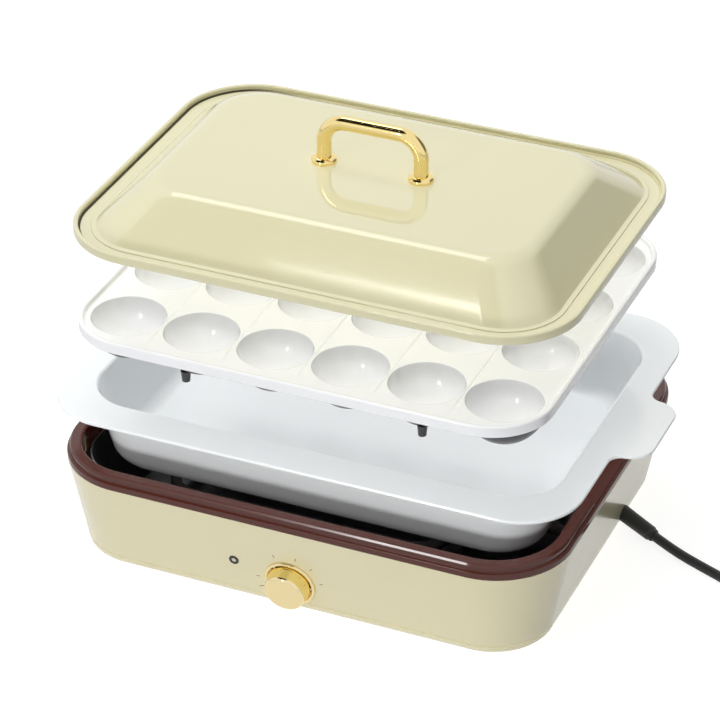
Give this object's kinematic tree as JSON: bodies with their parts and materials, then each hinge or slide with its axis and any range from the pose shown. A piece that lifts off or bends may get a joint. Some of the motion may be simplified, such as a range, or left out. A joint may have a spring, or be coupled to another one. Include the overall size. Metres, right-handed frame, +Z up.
{
  "type": "tabletop electric griddle",
  "caption": "Tabletop electric griddle shown lifted apart: heater base with dial, deep pan, plate with round cups, lift-off lid with bar handle, and a coiled mains lead.",
  "frame": {"origin": "on the table under the middle of the object's bounding box without the free mains lead", "axes": "+X to the right as seen from the front, -Y towards the user and the dial, +Z up; +X is along the long side"},
  "size_m": [0.524, 0.2652, 0.2682],
  "materials": {
    "ivory_enamel": "glossy enamel",
    "ivory_paint": "glossy paint on a moulded shell",
    "white_coating": "glossy ceramic coating on pressed sheet",
    "plate_coating": "smooth non-stick coating on a casting",
    "brown_plastic": "glossy",
    "cover_plastic": "fine matt",
    "gold_metal": "polished plating",
    "bright_sheet": "bright sheet",
    "sheath_steel": "heat-darkened sheath",
    "zinc_steel": "zinc plated",
    "black_rubber": "matt",
    "black_plastic": "matt",
    "white_plastic": "matt",
    "lamp_clear": "clear moulded",
    "blade_brass": "bright"
  },
  "bodies": {
    "base": {"base_shell": "ivory_paint", "bottom_cover": "cover_plastic", "rubber_feet": "black_rubber", "rim_ring": "brown_plastic", "heat_shield": "bright_sheet", "heating_element": "sheath_steel", "element_clips": "bright_sheet", "cover_screws": "zinc_steel", "shield_screws": "zinc_steel", "knob_bezel": "gold_metal", "thermostat_body": "white_plastic", "thermostat_nut": "zinc_steel", "lamp_holder": "black_plastic", "lamp_lens": "lamp_clear", "cord_bushing": "black_rubber", "cord_clamp": "black_plastic", "terminal_block": "white_plastic", "thermal_fuse": "white_plastic", "inner_leads": "white_plastic", "mains_cord": "black_rubber", "cord_coil": "black_rubber", "coil_tie": "black_plastic", "mains_cord_end": "black_rubber", "mains_plug": "black_rubber", "plug_blades": "blade_brass"},
    "dial": {"dial_knob": "gold_metal", "dial_shaft": "zinc_steel"},
    "pan": {"deep_pan": "white_coating"},
    "plate": {"cup_plate": "plate_coating"},
    "lid": {"lid_shell": "ivory_enamel", "lid_handle": "gold_metal", "handle_collars": "gold_metal", "handle_washers": "zinc_steel", "handle_screws": "zinc_steel"}
  },
  "joints": [
    {"name": "dial_turn", "type": "hinge", "parent": "base", "child": "dial", "pos_m": [0, -0.11983, 0.0235], "axis": [0, 0.9823, 0.1874], "range_deg": [0, 225]},
    {"name": "pan_lift", "type": "slide", "parent": "base", "child": "pan", "axis": [0, 0, 1], "range_m": [-0.0272, 0.02]},
    {"name": "plate_lift", "type": "slide", "parent": "pan", "child": "plate", "axis": [0, 0, 1], "range_m": [-0.0306, 0.02]},
    {"name": "lid_lift", "type": "slide", "parent": "plate", "child": "lid", "axis": [0, 0, 1], "range_m": [-0.0483, 0.02]}
  ]
}
